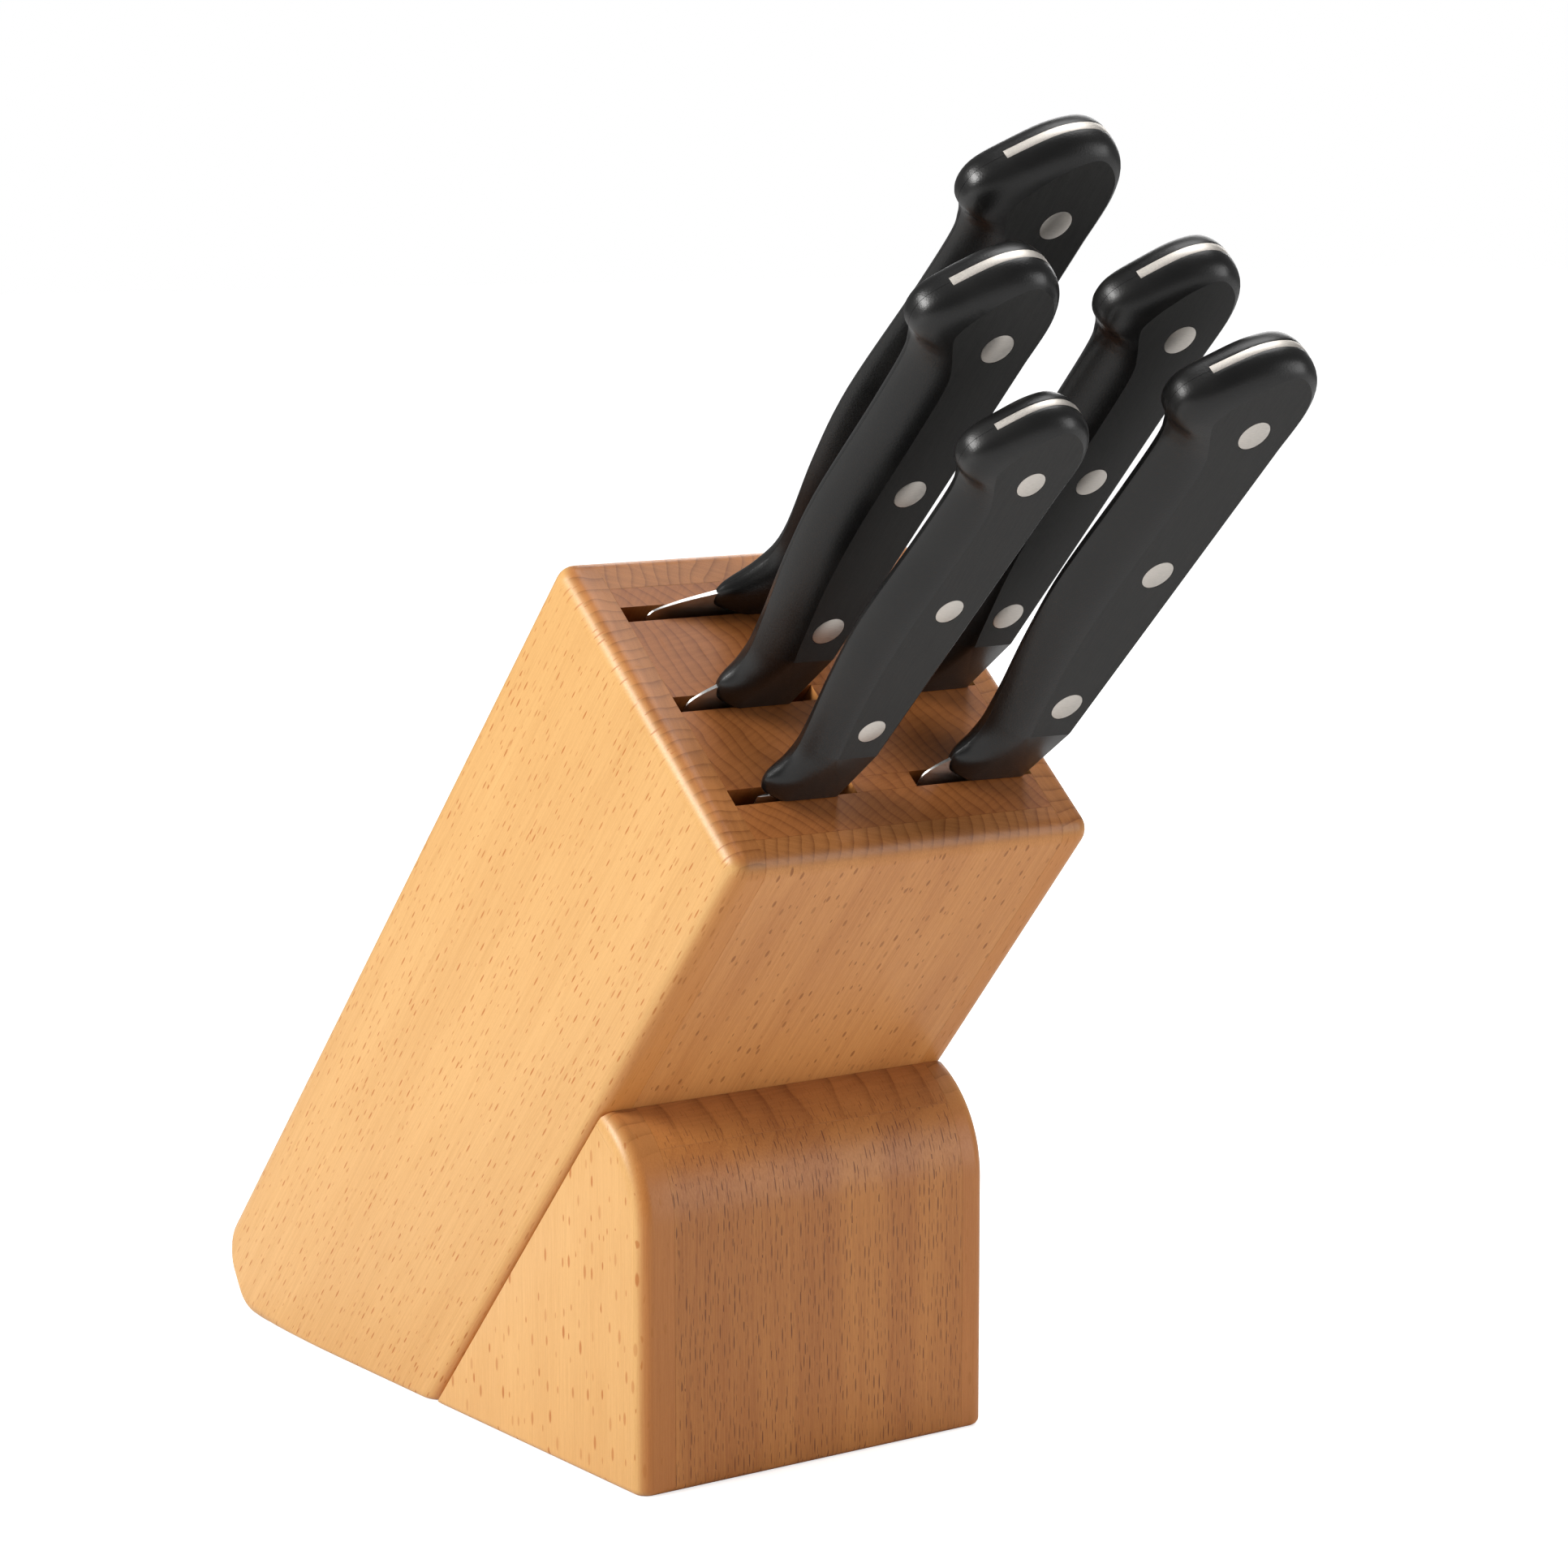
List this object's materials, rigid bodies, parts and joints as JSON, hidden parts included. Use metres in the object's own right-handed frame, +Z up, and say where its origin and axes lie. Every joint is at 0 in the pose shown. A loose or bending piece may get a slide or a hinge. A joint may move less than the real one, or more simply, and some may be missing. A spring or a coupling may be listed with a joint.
{
  "type": "knife block with knives",
  "caption": "Slanted beech knife block on a round-fronted foot, holding kitchen knives with black riveted full-tang handles that slide out along its slots.",
  "frame": {"origin": "middle of the base, on the table: half way between the foot's front face and the end of the block's underside, on the centre line", "axes": "+X to the right, +Y to the back, +Z up; the handles lean to the front, -Y"},
  "size_m": [0.0909, 0.2812, 0.279],
  "materials": {
    "beech_side": "oiled beech, along the grain, light",
    "beech_front": "oiled beech, along the grain, mid brown",
    "beech_end": "oiled beech end grain",
    "handle_black": "black, fine matt",
    "blade_steel": "ground stainless steel",
    "rivet_steel": "ground flush with the handle"
  },
  "bodies": {
    "block": {"block_left_cheek": "beech_side", "block_right_cheek": "beech_side", "block_front_board": "beech_front", "block_front_lamella": "beech_end", "block_front_spacer": "beech_end", "block_middle_lamella": "beech_end", "block_middle_spacer": "beech_end", "block_rear_core_lamella": "beech_end", "block_rear_spacer": "beech_end", "block_rear_lamella": "beech_end", "block_back_board": "beech_side", "foot_left_cheek": "beech_side", "foot_right_cheek": "beech_side", "foot_front_board": "beech_front", "foot_core": "beech_front"},
    "chefs_knife": {"chefs_knife_blade": "blade_steel", "chefs_knife_front_scale": "handle_black", "chefs_knife_back_scale": "handle_black", "chefs_knife_rivet_1": "rivet_steel", "chefs_knife_rivet_2": "rivet_steel", "chefs_knife_rivet_3": "rivet_steel"},
    "slicing_knife": {"slicing_knife_blade": "blade_steel", "slicing_knife_front_scale": "handle_black", "slicing_knife_back_scale": "handle_black", "slicing_knife_rivet_1": "rivet_steel", "slicing_knife_rivet_2": "rivet_steel", "slicing_knife_rivet_3": "rivet_steel"},
    "bread_knife": {"bread_knife_blade": "blade_steel", "bread_knife_front_scale": "handle_black", "bread_knife_back_scale": "handle_black", "bread_knife_rivet_1": "rivet_steel", "bread_knife_rivet_2": "rivet_steel", "bread_knife_rivet_3": "rivet_steel"},
    "paring_knife": {"paring_knife_blade": "blade_steel", "paring_knife_front_scale": "handle_black", "paring_knife_back_scale": "handle_black", "paring_knife_rivet_1": "rivet_steel", "paring_knife_rivet_2": "rivet_steel", "paring_knife_rivet_3": "rivet_steel"},
    "utility_knife": {"utility_knife_blade": "blade_steel", "utility_knife_front_scale": "handle_black", "utility_knife_back_scale": "handle_black", "utility_knife_rivet_1": "rivet_steel", "utility_knife_rivet_2": "rivet_steel", "utility_knife_rivet_3": "rivet_steel"}
  },
  "joints": [
    {"name": "chefs_knife_draw", "type": "slide", "parent": "block", "child": "chefs_knife", "axis": [0, -0.6561, 0.7547], "range_m": [0, 0.208]},
    {"name": "slicing_knife_draw", "type": "slide", "parent": "block", "child": "slicing_knife", "axis": [0, -0.6561, 0.7547], "range_m": [0, 0.188]},
    {"name": "bread_knife_draw", "type": "slide", "parent": "block", "child": "bread_knife", "axis": [0, -0.6561, 0.7547], "range_m": [0, 0.203]},
    {"name": "paring_knife_draw", "type": "slide", "parent": "block", "child": "paring_knife", "axis": [0, -0.6561, 0.7547], "range_m": [0, 0.098]},
    {"name": "utility_knife_draw", "type": "slide", "parent": "block", "child": "utility_knife", "axis": [0, -0.6561, 0.7547], "range_m": [0, 0.138]}
  ]
}
